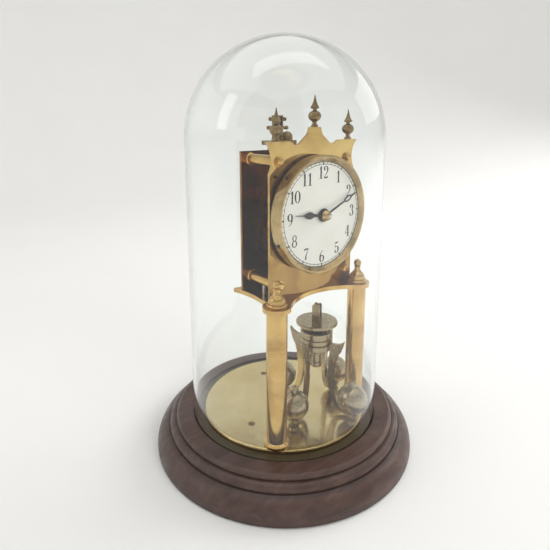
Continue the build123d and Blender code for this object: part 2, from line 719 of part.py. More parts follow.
def arbor(centre, radius, pinion):
    """An arbor pivoted in both plates, with a pinion given as (teeth, module, phase, back, front)."""
    teeth, module, phase, back, front = pinion
    with BuildPart() as shaft:
        add(rod(radius, BACK_INNER - 0.2, FRONT_INNER + 0.2, centre))
        add(rod(PIVOT_RADIUS, BACK_Y, FRONT_Y, centre))
        add(gear(teeth, module, phase, centre, back, front, 0))
    return shaft.part


save(arbor(SECOND, 1.2, (10, 0.54, second_pinion_phase, -22.5, -27.0)), "second_arbor")
save(spoked(60, 0.48, second_phase, SECOND, *SECOND_LAYER, 1.2), "second_wheel")
save(arbor(FOURTH, 1.1, (12, 0.44, fourth_pinion_phase, -26.0, -29.4)), "fourth_arbor")
save(spoked(48, 0.44, fourth_phase, FOURTH, *FOURTH_LAYER, 1.1), "fourth_wheel")
save(arbor(ESCAPE, 1.0, (15, 0.44, escape_pinion_phase, -17.0, -22.0)), "escape_arbor")
save(spoked(60, 0.44, centre_phase, CENTRE, *CENTRE_LAYER, 1.6), "centre_wheel")

with BuildPart() as centre_arbor:
    add(rod(1.6, BACK_INNER - 0.2, FRONT_INNER + 0.2, CENTRE))
    add(rod(PIVOT_RADIUS, BACK_Y, BACK_INNER - 0.2, CENTRE))
    add(rod(JOURNAL_RADIUS, FRONT_INNER + 0.2, FRONT_Y - 0.6, CENTRE))
    add(rod(ARBOR_RADIUS, FRONT_Y, -47.4, CENTRE))
    add(gear(10, 0.48, centre_pinion_phase, CENTRE, -3.4, -7.4, 0))
save(centre_arbor.part, "centre_arbor")

ESCAPE_TEETH = 15
ESCAPE_RADIUS = 9.5
with BuildPart() as escape_wheel:
    with BuildSketch(facing(ESCAPE_LAYER[0])):
        with Locations(ESCAPE):
            Circle(7.6)
        for index in range(ESCAPE_TEETH):
            angle = index * 360 / ESCAPE_TEETH
            with BuildLine():
                Polyline(
                    polar(7.2, angle - 5, ESCAPE),
                    polar(ESCAPE_RADIUS, angle + 5, ESCAPE),
                    polar(ESCAPE_RADIUS, angle + 6.5, ESCAPE),
                    polar(7.2, angle + 6, ESCAPE),
                    close=True,
                )
            make_face()
        with Locations(ESCAPE):
            Circle(6.2, mode=Mode.SUBTRACT)
            Circle(2.6)
        for index in range(4):
            with Locations(Location((*polar(4.4, 45 + 90 * index, ESCAPE), 0), 45 + 90 * index)):
                Rectangle(4.4, 1.1)
        with Locations(ESCAPE):
            Circle(1.0, mode=Mode.SUBTRACT)
    extrude(amount=ESCAPE_LAYER[0] - ESCAPE_LAYER[1])
save(escape_wheel.part, "escape_wheel")

# --- mainspring barrel and winding work ---------------------------------------------------
CORE_RADIUS = 5.0
with BuildPart() as barrel:
    add(gear(76, 0.54, barrel_phase, BARREL_CENTRE, *BARREL_LAYER, JOURNAL_RADIUS + 0.05))
    add(
        turned_level(
            [
                (BARREL_RADIUS - 1.0, BARREL_LAYER[0]),
                (BARREL_RADIUS, BARREL_LAYER[0]),
                (BARREL_RADIUS, BARREL_BACK),
                (BARREL_RADIUS - 1.0, BARREL_BACK),
            ],
            BARREL_CENTRE,
        )
    )
save(barrel.part, "barrel")

barrel_cover = turned_level(
    [
        (JOURNAL_RADIUS + 0.05, BARREL_BACK),
        (BARREL_RADIUS - 1.0, BARREL_BACK),
        (BARREL_RADIUS - 1.0, BARREL_BACK - COVER_THICKNESS),
        (JOURNAL_RADIUS + 0.05, BARREL_BACK - COVER_THICKNESS),
    ],
    BARREL_CENTRE,
)
save(barrel_cover, "barrel_cover")

WINDING_HALF = 1.4
SQUARE_END = BACK_Y + 9.0
with BuildPart() as barrel_arbor:
    add(rod(JOURNAL_RADIUS, BACK_Y + 0.3, FRONT_Y + 0.3, BARREL_CENTRE))
    add(rod(CORE_RADIUS, BARREL_BACK - COVER_THICKNESS - 0.3, BARREL_LAYER[0] + 0.3, BARREL_CENTRE))
    with BuildSketch(facing(SQUARE_END)):
        with Locations(BARREL_CENTRE):
            Rectangle(2 * WINDING_HALF, 2 * WINDING_HALF)
    extrude(amount=SQUARE_END - BACK_Y)
    chamfer(barrel_arbor.faces().sort_by(Axis.Y)[-1].edges(), 0.4)
save(barrel_arbor.part, "barrel_arbor")

# The spring's coils are half circles whose centres alternate, which makes a true spiral strip.
STRIP = 0.8
COIL_PITCH = 1.7
HALF_TURNS = 13
with BuildPart() as mainspring:
    with BuildSketch(facing(BARREL_BACK - COVER_THICKNESS - 0.4)):
        with BuildLine() as strip:
            for index in range(HALF_TURNS):
                middle = (BARREL_CENTRE[0] - (index % 2) * COIL_PITCH / 2, BARREL_CENTRE[1])
                outer = BARREL_RADIUS - 1.0 - index * COIL_PITCH / 2
                for radius in (outer, outer - STRIP):
                    ThreePointArc(
                        polar(radius, index * 180, middle),
                        polar(radius, index * 180 + 90, middle),
                        polar(radius, index * 180 + 180, middle),
                    )
            start = (BARREL_CENTRE[0] + BARREL_RADIUS - 1.0, BARREL_CENTRE[1])
            Line(start, (start[0] - STRIP, start[1]))
            last = polar(outer, index * 180 + 180, middle)
            Line(last, polar(outer - STRIP, index * 180 + 180, middle))
        make_face()
    extrude(amount=BARREL_BACK - COVER_THICKNESS - 0.4 - BARREL_LAYER[0] - 0.4)
save(mainspring.part, "mainspring")

RATCHET_TEETH = 24
RATCHET_RADIUS = 7.0
with BuildPart() as ratchet_wheel:
    with BuildSketch(facing(RATCHET_BACK)):
        with Locations(BARREL_CENTRE):
            Circle(RATCHET_RADIUS - 1.1)
        for index in range(RATCHET_TEETH):
            angle = index * 360 / RATCHET_TEETH
            with BuildLine():
                Polyline(
                    polar(RATCHET_RADIUS - 1.5, angle - 9, BARREL_CENTRE),
                    polar(RATCHET_RADIUS, angle + 3, BARREL_CENTRE),
                    polar(RATCHET_RADIUS - 1.5, angle + 3, BARREL_CENTRE),
                    close=True,
                )
            make_face()
        with Locations(BARREL_CENTRE):
            Rectangle(2 * WINDING_HALF, 2 * WINDING_HALF, mode=Mode.SUBTRACT)
    extrude(amount=1.6)
save(ratchet_wheel.part, "ratchet_wheel")

with BuildPart() as click:
    with BuildSketch(facing(RATCHET_BACK)):
        with Locations(CLICK_PIVOT):
            Circle(2.0)
        with BuildLine():
            Polyline(
                (CLICK_PIVOT[0] + 1.9, CLICK_PIVOT[1] - 0.5),
                (BARREL_CENTRE[0] + RATCHET_RADIUS + 1.5, BARREL_CENTRE[1] + 0.6),
                (BARREL_CENTRE[0] + RATCHET_RADIUS + 0.1, BARREL_CENTRE[1] + 0.9),
                (BARREL_CENTRE[0] + RATCHET_RADIUS + 0.4, BARREL_CENTRE[1] + 2.6),
                (CLICK_PIVOT[0] - 1.8, CLICK_PIVOT[1] + 0.7),
                close=True,
            )
        make_face()
        with Locations(CLICK_PIVOT):
            Circle(0.95, mode=Mode.SUBTRACT)
    extrude(amount=1.6)
save(click.part, "click")

# --- anchor and suspension ----------------------------------------------------------------
PIN_Y = BACK_Y + 2.0
FORK_HEIGHT = 226.4
with BuildPart() as anchor:
    with BuildSketch(facing(ESCAPE_LAYER[0])):
        with Locations(ANCHOR):
            Circle(2.2)
        for sign in (-1, 1):
            with BuildLine():
                Polyline(
                    (sign * 0.4, ANCHOR[1] + 1.2),
                    (sign * 6.6, ANCHOR[1] - 2.0),
                    (sign * 10.0, ANCHOR[1] - 6.4),
                    (sign * 8.4, ANCHOR[1] - 6.9),
                    (sign * 5.6, ANCHOR[1] - 3.6),
                    (sign * 0.4, ANCHOR[1] - 1.2),
                    close=True,
                )
            make_face()
        with Locations(ANCHOR):
            Rectangle(2.0, 2.0)
            Circle(1.0, mode=Mode.SUBTRACT)
    extrude(amount=ESCAPE_LAYER[0] - ESCAPE_LAYER[1])
save(anchor.part, "anchor")

with BuildPart() as anchor_arbor:
    add(rod(1.0, BACK_INNER - 0.2, FRONT_INNER + 0.2, ANCHOR))
    add(rod(PIVOT_RADIUS, PIN_Y + 1.2, FRONT_Y, ANCHOR))
    add(rod(1.7, PIN_Y + 1.2, BACK_Y + 0.4, ANCHOR))
    with Locations((0, PIN_Y, ANCHOR[1])):
        Cylinder(0.5, FORK_HEIGHT + 1.6 - ANCHOR[1], align=(Align.CENTER, Align.CENTER, Align.MIN))
save(anchor_arbor.part, "anchor_arbor")

BRIDGE_BOTTOM = 229.5
BRIDGE_TOP = 232.5
LEG_BOTTOM = 209.0
SPRING_TOP = 248.0
SPRING_BOTTOM = 119.0
with BuildPart() as suspension_bracket:
    with BuildSketch(facing(BACK_Y + BRACKET_THICKNESS)):
        for sign in (-1, 1):
            with Locations((sign * 9.0, (LEG_BOTTOM + BRIDGE_TOP) / 2)):
                Rectangle(7.2, BRIDGE_TOP - LEG_BOTTOM)
        with Locations((0, (BRIDGE_BOTTOM + BRIDGE_TOP) / 2)):
            Rectangle(20.0, BRIDGE_TOP - BRIDGE_BOTTOM)
    extrude(amount=3.0)
    with BuildSketch(Plane.XY.offset(BRIDGE_BOTTOM)):
        with Locations((0, BACK_Y + 6.0)):
            RectangleRounded(25.2, 12.0, 3.0)
    extrude(amount=BRIDGE_TOP - BRIDGE_BOTTOM)
    with Locations((0, SUSPENSION_Y, BRIDGE_BOTTOM)):
        Cylinder(
            3.15,
            BRIDGE_TOP - BRIDGE_BOTTOM,
            align=(Align.CENTER, Align.CENTER, Align.MIN),
            mode=Mode.SUBTRACT,
        )
    with Locations(*[(x, BACK_Y + 1.5, z) for x, z in bracket_screw_places]):
        Cylinder(SCREW_RADIUS + CLEARANCE, 3.0, rotation=(90, 0, 0), mode=Mode.SUBTRACT)
save(suspension_bracket.part, "suspension_bracket")

CHEEK_TOP = 250.5
SCREW_HEIGHTS = (241.6, 247.8)
with BuildPart() as saddle:
    add(
        turned(
            [
                (1.0, BRIDGE_BOTTOM - 1.0),
                (3.1, BRIDGE_BOTTOM - 1.0),
                (3.1, BRIDGE_TOP + 0.05),
                (4.4, BRIDGE_TOP + 0.05),
                (4.4, BRIDGE_TOP + 2.0),
                (1.0, BRIDGE_TOP + 2.0),
            ],
            (0, SUSPENSION_Y),
        )
    )
    for sign in (-1, 1):
        with BuildSketch(Plane.YZ.offset(sign * 2.7 - 0.6)):
            with Locations((SUSPENSION_Y, (BRIDGE_TOP + 2.0 + CHEEK_TOP) / 2)):
                Rectangle(5.0, CHEEK_TOP - BRIDGE_TOP - 2.0)
            with Locations(*[(SUSPENSION_Y, height) for height in SCREW_HEIGHTS]):
                Circle(0.95, mode=Mode.SUBTRACT)
        extrude(amount=1.2)
save(saddle.part, "saddle")

HEAD_LENGTH = 2.4
upright = (Align.CENTER, Align.CENTER, Align.MIN)
with BuildPart() as saddle_screws:
    for height, reach in ((SCREW_HEIGHTS[0], 6.9), (SCREW_HEIGHTS[1], 5.0)):
        for sign in (-1, 1):
            with Locations(Location((sign * 1.2, SUSPENSION_Y, height), (0, sign * 90, 0))):
                Cylinder(0.9, reach - 1.2, align=upright)
            with Locations(Location((sign * reach, SUSPENSION_Y, height), (0, sign * 90, 0))):
                Cylinder(1.4, HEAD_LENGTH, align=upright)
save(saddle_screws.part, "saddle_screws")

with BuildPart() as top_block:
    with Locations((0, SUSPENSION_Y, 246.0)):
        Box(2.4, 3.2, 5.6)
        Box(1.45, 0.35, 5.6, mode=Mode.SUBTRACT)
save(top_block.part, "top_block")

bracket_nut = turned(
    [
        (0, BRIDGE_TOP),
        (4.4, BRIDGE_TOP),
        (4.4, BRIDGE_TOP + 3.4),
        (2.6, BRIDGE_TOP + 5.8),
        (0, BRIDGE_TOP + 6.6),
    ],
    (9.0, SUSPENSION_Y),
    rounds=[((4.4, BRIDGE_TOP + 3.4), 1.2), ((2.6, BRIDGE_TOP + 5.8), 1.6)],
)
save(bracket_nut, "bracket_nut")

with BuildPart() as suspension_spring:
    with Locations((0, SUSPENSION_Y, SPRING_BOTTOM)):
        Box(1.4, 0.3, SPRING_TOP - SPRING_BOTTOM, align=(Align.CENTER, Align.CENTER, Align.MIN))
save(suspension_spring.part, "suspension_spring")

with BuildPart() as fork:
    add(
        turned(
            [
                (1.0, FORK_HEIGHT - 1.6),
                (2.2, FORK_HEIGHT - 1.6),
                (2.2, FORK_HEIGHT + 1.6),
                (1.0, FORK_HEIGHT + 1.6),
            ],
            (0, SUSPENSION_Y),
        )
    )
    with BuildSketch(Plane.XY.offset(FORK_HEIGHT - 0.5)):
        for sign in (-1, 1):
            with Locations((sign * 1.15, (PIN_Y - 1.2 + SUSPENSION_Y - 1.6) / 2)):
                Rectangle(0.9, SUSPENSION_Y - 1.6 - PIN_Y + 1.2)
    extrude(amount=1.0)
save(fork.part, "fork")

# The lower block's plate is slotted from the side that the pendulum's cross pin comes in from.
hung_pin = HOOK_PIN_HEIGHT + PENDULUM_LIFT
carry_run = math.hypot(PENDULUM_X, SUSPENSION_Y - PENDULUM_Y)
carry_slope = math.degrees(math.atan2(PENDULUM_LIFT, carry_run))
carry_direction = (math.cos(math.radians(CARRY_ANGLE)), math.sin(math.radians(CARRY_ANGLE)), 0)
hook_side = (-carry_direction[1], carry_direction[0], 0)
BLOCK_BOTTOM = 117.4


def carry_plane(x, y, height, offset):
    """An upright plane along the pendulum's way to its hook; local x points along that way."""
    shift = [offset * part for part in hook_side]
    side = (carry_direction[1], -carry_direction[0], 0)
    return Plane((x + shift[0], y + shift[1], height), x_dir=carry_direction, z_dir=side)


with BuildPart() as lower_block:
    add(
        turned(
            [
                (0, BLOCK_BOTTOM),
                (2.6, BLOCK_BOTTOM),
                (2.6, BLOCK_BOTTOM + 4.2),
                (1.0, BLOCK_BOTTOM + 4.2),
                (1.0, BLOCK_BOTTOM + 1.4),
                (0, BLOCK_BOTTOM + 1.4),
            ],
            (0, SUSPENSION_Y),
        )
    )
    with BuildSketch(carry_plane(0, SUSPENSION_Y, hung_pin, 0.6)):
        with Locations((0, (BLOCK_BOTTOM - hung_pin - 3.2) / 2)):
            Rectangle(5.0, BLOCK_BOTTOM - hung_pin + 3.2)
        with BuildLine():
            Polyline((1.2, 1.2), (-3.4, 0.4), (-3.4, -2.0), (1.2, -1.2), close=True)
        make_face(mode=Mode.SUBTRACT)
    extrude(amount=1.2)
save(lower_block.part, "lower_block")

# --- pendulum, unhooked and standing on its four ball screws ------------------------------
PENDULUM = (PENDULUM_X, PENDULUM_Y)
HUB_RADIUS = 12.4
HUB_BOTTOM = 64.4
SPINDLE_TOP = 99.0
pendulum_hub = turned(
    [
        (0, HUB_BOTTOM),
        (4.6, HUB_BOTTOM),
        (4.6, 72.0),
        (5.4, 72.4),
        (5.4, 74.6),
        (11.6, 75.4),
        (HUB_RADIUS, 76.4),
        (HUB_RADIUS, 80.2),
        (11.2, 80.8),
        (11.2, 81.8),
        (HUB_RADIUS, 82.4),
        (HUB_RADIUS, 84.4),
        (11.4, 85.0),
        (11.4, 85.8),
        (HUB_RADIUS, 86.4),
        (HUB_RADIUS, 90.0),
        (9.4, 91.2),
        (5.4, 92.0),
        (5.4, DISC_BOTTOM - CLEARANCE),
        (2.6, DISC_BOTTOM - CLEARANCE),
        (2.6, SPINDLE_TOP),
        (0, SPINDLE_TOP),
    ],
    PENDULUM,
    rounds=[((HUB_RADIUS, 90.0), 1.0), ((HUB_RADIUS, 76.4), 0.5), ((4.6, HUB_BOTTOM), 0.6)],
)
save(pendulum_hub, "pendulum_hub")

knob_top = HUB_BOTTOM - CLEARANCE
pendulum_finial = turned(
    [(0, knob_top), (4.2, knob_top), (5.0, 63.4), (5.0, 61.2), (4.3, 60.2), (2.0, 59.4), (0, 59.2)],
    PENDULUM,
    rounds=[((5.0, 63.4), 0.4), ((5.0, 61.2), 0.6), ((4.3, 60.2), 0.5)],
)
save(pendulum_finial, "pendulum_finial")

rating_disc = turned(
    [
        (2.65, DISC_BOTTOM),
        (DISC_RADIUS - 0.5, DISC_BOTTOM),
        (DISC_RADIUS, DISC_BOTTOM + 0.5),
        (DISC_RADIUS, DISC_BOTTOM + 1.9),
        (DISC_RADIUS - 0.5, DISC_BOTTOM + 2.4),
        (2.65, DISC_BOTTOM + 2.4),
    ],
    PENDULUM,
)
save(rating_disc, "rating_disc")

# two cheeks, each with two rounded tips, and a cross pin between them
TIP_HEIGHT = 109.0
TIP_RADIUS = 1.5
CHEEK_HALF = 3.0
with BuildPart() as pendulum_hook:
    with BuildSketch(carry_plane(PENDULUM_X, PENDULUM_Y, 0, 2.9)):
        with Locations((0, SPINDLE_TOP - 0.3)):
            Rectangle(2 * CHEEK_HALF, 2.2)
    extrude(amount=5.8)
    with Locations((PENDULUM_X, PENDULUM_Y, 98.3)):
        Cylinder(2.6, 1.4, mode=Mode.SUBTRACT)
    for offset in (2.9, -1.6):
        with BuildSketch(carry_plane(PENDULUM_X, PENDULUM_Y, 0, offset)):
            with Locations((0, (SPINDLE_TOP + TIP_HEIGHT) / 2)):
                Rectangle(2 * CHEEK_HALF, TIP_HEIGHT - SPINDLE_TOP)
            with Locations((CHEEK_HALF - TIP_RADIUS, TIP_HEIGHT), (TIP_RADIUS - CHEEK_HALF, TIP_HEIGHT)):
                Circle(TIP_RADIUS)
        extrude(amount=1.3)
    with BuildSketch(carry_plane(PENDULUM_X, PENDULUM_Y, HOOK_PIN_HEIGHT, 3.4)):
        Circle(0.8)
    extrude(amount=6.8)
save(pendulum_hook.part, "pendulum_hook")

arm_angles = [ARM_ANGLE + 90 * index for index in range(4)]
FOOT_BOTTOM = 28.8
BALL_BORE = 1.3
FOOT_TOP = BALL_HEIGHT - BALL_RADIUS - 0.05
with BuildPart() as pendulum_arms:
    for angle in arm_angles:
        radians = math.radians(angle)
        out = (math.cos(radians), math.sin(radians), 0)
        side = (math.sin(radians), -math.cos(radians), 0)
        origin = (
            PENDULUM_X - 1.3 * side[0],
            PENDULUM_Y - 1.3 * side[1],
            0,
        )
        with BuildSketch(Plane(origin, x_dir=out, z_dir=side)):
            with BuildLine():
                Line((34.4, FOOT_BOTTOM), (34.4, FOOT_TOP))
                Line((34.4, FOOT_TOP), (25.0, FOOT_TOP))
                Spline(
                    (25.0, FOOT_TOP), (18.6, 38.0), (16.0, 56.0), (18.6, 73.0), (23.8, 86.4),
                    tangents=((-1, 0.15), (0.25, 1)),
                )
                Spline(
                    (23.8, 86.4), (18.6, 82.8), (HUB_RADIUS, 82.0),
                    tangents=((-0.5, -0.7), (-1, 0)),
                )
                Line((HUB_RADIUS, 82.0), (HUB_RADIUS, 76.6))
                Spline(
                    (HUB_RADIUS, 76.6), (11.2, 58.0), (14.2, 38.0), (25.0, FOOT_BOTTOM),
                    tangents=((-0.1, -1), (1, -0.1)),
                )
                Line((25.0, FOOT_BOTTOM), (34.4, FOOT_BOTTOM))
            make_face()
        extrude(amount=2.6)
        with BuildSketch(Plane.XY.offset(FOOT_BOTTOM)):
            with Locations(polar(BALL_CIRCLE, angle, PENDULUM)):
                Circle(3.8)
        extrude(amount=FOOT_TOP - FOOT_BOTTOM)
        with Locations((*polar(BALL_CIRCLE, angle, PENDULUM), FOOT_BOTTOM)):
            Cylinder(BALL_BORE, 8, mode=Mode.SUBTRACT)
save(pendulum_arms.part, "pendulum_arms")

ball_places = [polar(BALL_CIRCLE, angle, PENDULUM) for angle in arm_angles]
with BuildPart() as pendulum_balls:
    with Locations(*[(x, y, BALL_HEIGHT) for x, y in ball_places]):
        Sphere(BALL_RADIUS)
        Cylinder(BALL_BORE, 2 * BALL_RADIUS + 2, mode=Mode.SUBTRACT)
    with Locations(*[(x, y, BALL_HEIGHT + BALL_RADIUS - 0.4) for x, y in ball_places]):
        Cylinder(4.0, 4.0, align=(Align.CENTER, Align.CENTER, Align.MIN), mode=Mode.SUBTRACT)
save(pendulum_balls.part, "pendulum_balls")

nut_seat = BALL_HEIGHT + BALL_RADIUS - 0.4
with BuildPart() as ball_screws:
    for place in ball_places:
        add(
            turned(
                [
                    (0, PLATE_TOP),
                    (1.5, PLATE_TOP),
                    (2.2, PLATE_TOP + 0.7),
                    (2.2, FOOT_BOTTOM),
                    (BALL_BORE - 0.05, FOOT_BOTTOM),
                    (BALL_BORE - 0.05, nut_seat),
                    (3.2, nut_seat),
                    (3.2, nut_seat + 3.0),
                    (1.8, nut_seat + 4.4),
                    (0, nut_seat + 4.8),
                ],
                place,
                rounds=[((3.2, nut_seat + 3.0), 0.7)],
            )
        )
save(ball_screws.part, "ball_screws")
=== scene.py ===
import json
import math

import bmesh
import bpy
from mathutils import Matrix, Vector


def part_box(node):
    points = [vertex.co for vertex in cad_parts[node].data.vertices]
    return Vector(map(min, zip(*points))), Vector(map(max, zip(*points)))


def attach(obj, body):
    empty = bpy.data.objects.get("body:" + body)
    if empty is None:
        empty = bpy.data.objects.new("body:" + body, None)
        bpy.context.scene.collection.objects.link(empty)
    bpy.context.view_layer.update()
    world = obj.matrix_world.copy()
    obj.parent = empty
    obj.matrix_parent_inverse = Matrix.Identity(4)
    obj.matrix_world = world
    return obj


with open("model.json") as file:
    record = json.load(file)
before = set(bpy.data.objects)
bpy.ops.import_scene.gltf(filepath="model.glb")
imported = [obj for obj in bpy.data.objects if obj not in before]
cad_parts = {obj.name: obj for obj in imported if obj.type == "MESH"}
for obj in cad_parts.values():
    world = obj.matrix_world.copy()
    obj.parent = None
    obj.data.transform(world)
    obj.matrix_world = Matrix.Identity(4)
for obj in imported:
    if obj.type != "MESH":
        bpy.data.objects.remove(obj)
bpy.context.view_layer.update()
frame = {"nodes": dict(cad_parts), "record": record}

# A torsion clock under its glass dome. Units are metres; the dial faces -Y and +Z is up.
MM = 0.001
scene = bpy.context.scene
scene.view_settings.view_transform = "Standard"


# --- materials ----------------------------------------------------------------------------
# The mix node has a set of sockets for each kind of value. These are its colour sockets.
MIX_FIRST, MIX_SECOND, MIX_RESULT = 6, 7, 2


class Shader:
    """A material with one Principled shader and short ways to add procedural nodes."""

    def __init__(self, name):
        self.material = bpy.data.materials.new(name)
        self.material.use_nodes = True
        self.tree = self.material.node_tree
        self.bsdf = self.tree.nodes["Principled BSDF"]
        self.coords = self.tree.nodes.new("ShaderNodeTexCoord")

    def node(self, kind, **settings):
        """A new node with some of its own settings changed."""
        node = self.tree.nodes.new(kind)
        for key, value in settings.items():
            setattr(node, key, value)
        return node

    def link(self, start, end):
        self.tree.links.new(start, end)

    def set(self, **values):
        """Constants on the shader's own sockets, such as Metallic or Coat_Weight."""
        for key, value in values.items():
            self.bsdf.inputs[key.replace("_", " ")].default_value = value

    def stretched(self, scale):
        """Object coordinates in metres, scaled differently along each axis."""
        mapping = self.node("ShaderNodeMapping")
        mapping.inputs["Scale"].default_value = scale
        self.link(self.coords.outputs["Object"], mapping.inputs["Vector"])
        return mapping.outputs["Vector"]

    def noise(self, scale, detail=4.0, roughness=0.55, stretch=(1, 1, 1), distortion=0.0):
        """Fractal noise, scale being its cells per metre."""
        noise = self.node("ShaderNodeTexNoise")
        noise.inputs["Scale"].default_value = scale
        noise.inputs["Detail"].default_value = detail
        noise.inputs["Roughness"].default_value = roughness
        noise.inputs["Distortion"].default_value = distortion
        self.link(self.stretched(stretch), noise.inputs["Vector"])
        return noise.outputs["Fac"]

    def ramp(self, source, stops):
        """A colour ramp from (position, colour) stops."""
        ramp = self.node("ShaderNodeValToRGB")
        while len(ramp.color_ramp.elements) < len(stops):
            ramp.color_ramp.elements.new(0.5)
        for element, (position, colour) in zip(ramp.color_ramp.elements, stops):
            element.position = position
            element.color = (*colour, 1.0)
        self.link(source, ramp.inputs["Fac"])
        return ramp.outputs["Color"]

    def spread(self, source, low, high, start=0.3, end=0.7):
        """A value mapped from a noise's usual range to low..high."""
        mapped = self.node("ShaderNodeMapRange")
        mapped.inputs["From Min"].default_value = start
        mapped.inputs["From Max"].default_value = end
        mapped.inputs["To Min"].default_value = low
        mapped.inputs["To Max"].default_value = high
        self.link(source, mapped.inputs["Value"])
        return mapped.outputs["Result"]

    def mix(self, factor, first, second, blend="MIX"):
        """Two colours mixed; each of the three values is a constant or another node's output."""
        mix = self.node("ShaderNodeMix", data_type="RGBA", blend_type=blend)
        sockets = (mix.inputs["Factor"], mix.inputs[MIX_FIRST], mix.inputs[MIX_SECOND])
        for socket, value in zip(sockets, (factor, first, second)):
            if isinstance(value, bpy.types.NodeSocket):
                self.link(value, socket)
            elif isinstance(value, tuple):
                socket.default_value = (*value, 1.0)
            else:
                socket.default_value = value
        return mix.outputs[MIX_RESULT]

    def bump(self, height, strength, distance, under=None):
        """A bumped normal, on top of another one if that is given."""
        bump = self.node("ShaderNodeBump")
        bump.inputs["Strength"].default_value = strength
        bump.inputs["Distance"].default_value = distance
        self.link(height, bump.inputs["Height"])
        if under:
            self.link(under, bump.inputs["Normal"])
        return bump.outputs["Normal"]

    def height(self):
        """Height above the floor in metres, with every part at rest."""
        parts = self.node("ShaderNodeSeparateXYZ")
        self.link(self.coords.outputs["Object"], parts.inputs["Vector"])
        return parts.outputs["Z"]

    def from_axis(self):
        """Distance from the base's upright axis in metres, with every part at rest."""
        length = self.node("ShaderNodeVectorMath", operation="LENGTH")
        self.link(self.stretched((1, 1, 0)), length.inputs[0])
        return length.outputs["Value"]

    def finish(self, colour=None, roughness=None, normal=None):
        """Links what varies to the shader and gives the material."""
        for name, source in (("Base Color", colour), ("Roughness", roughness), ("Normal", normal)):
            if source:
                self.link(source, self.bsdf.inputs[name])
        return self.material


TARNISH_AND_SHADE_SHARES = (0.50, 0.42, 0.40)  # red, green and blue that are left of a dull tone, used both for tarnished spots and for painted shade
RIM_WIDTH = 1.2 * MM


def brass(name, bright, dull, roughness, spots=0.5, cloud=55, stain=0.0, rim=None, painted_foot_shade=None, relief=0.12):
    """Polished or aged brass: cloudy tone, tarnished specks, fine wiping marks in the gloss, and optionally
    painted shade at a round plate's rim and at the foot.

    roughness is its least and greatest value; spots is the strength of the specks, cloud how many
    clouds there are to a metre, relief the strength of the bumps. stain is how strongly brown
    lacquer loss shows in broad patches; rim is a radius in metres beyond which a round plate's
    edge is darkened as painted shade; painted_foot_shade is (low, high, strength), heights in metres
    between which the painted shade that starts at the foot dies out.
    """
    shader = Shader(name)
    clouds = shader.ramp(shader.noise(cloud, 5), [(0.35, bright), (0.72, dull)])
    # A dull tone used for tarnished specks and lacquer stains, and also for painted shade at a rim and at the
    # foot.
    tarnish_and_shade = tuple(part * share for part, share in zip(dull, TARNISH_AND_SHADE_SHARES))
    specks = shader.spread(shader.noise(900, 3, 0.6), 0.0, spots, 0.60, 0.74)
    colour = shader.mix(specks, clouds, tarnish_and_shade)
    if stain:
        patches = shader.spread(shader.noise(24, 6, 0.6, (1, 1, 1.6), 0.8), 0.0, stain, 0.50, 0.68)
        colour = shader.mix(patches, colour, tarnish_and_shade)
    # Painted shade: the lower part is darkened towards the dull tone, strongest at the foot, standing in for
    # the dial drum's shadow and the platform's dark reflection.
    if painted_foot_shade:
        low, high, strength = painted_foot_shade
        colour = shader.mix(shader.spread(shader.height(), strength, 0.0, low, high), colour, tarnish_and_shade)
    # Painted shade: the outer edge of a round plate is darkened towards the dull tone, beside the dome's
    # foot.
    if rim:
        rim_shade = shader.spread(shader.from_axis(), 0.0, 0.85, rim - RIM_WIDTH, rim)
        colour = shader.mix(rim_shade, colour, tarnish_and_shade)
    wipes = shader.noise(240, 4, 0.6, (1, 1, 0.25))
    gloss = shader.spread(wipes, roughness[0], roughness[1])
    soft = shader.bump(shader.noise(120, 2), relief * 0.8, 0.15 * MM)
    normal = shader.bump(wipes, relief, 0.02 * MM, soft)
    shader.set(Metallic=1.0)
    return shader.finish(colour, gloss, normal)


def steel(name, bright, dull, roughness):
    """Steel with a fine grain and slightly darker patches."""
    shader = Shader(name)
    colour = shader.ramp(shader.noise(180, 4), [(0.3, bright), (0.7, dull)])
    grain = shader.noise(1400, 2, 0.5)
    gloss = shader.spread(grain, roughness[0], roughness[1])
    normal = shader.bump(grain, 0.15, 0.01 * MM)
    shader.set(Metallic=1.0)
    return shader.finish(colour, gloss, normal)


base_low, base_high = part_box("wooden_base")
BASE_HEIGHT = base_high.z - base_low.z
dome_low, dome_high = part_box("glass_dome")
GROOVE_RADIUS = (dome_high.x - dome_low.x) / 2 + 0.6 * MM
GROOVE_BLEND = 0.8 * MM
GROOVE_SHADE_TONE = (0.092, 0.074, 0.038)  # painted shade: the wood inside the dome's groove is darkened to olive, in place of the shade under the glass foot
WHITE = (1.0, 1.0, 1.0)
# Painted shade: what is left of the wood's tone at shares of its height; it is darkened at the foot and in
# the turned steps.
WOOD_PAINTED_SHADE = [
    (0.0, (0.42, 0.40, 0.40)),
    (0.16, (0.88, 0.86, 0.86)),
    (0.58, WHITE),
    (0.645, (0.45, 0.43, 0.43)),
    (0.70, WHITE),
    (0.845, (0.98, 0.98, 0.98)),
    (0.862, (0.42, 0.4, 0.4)),
    (0.89, WHITE),
]


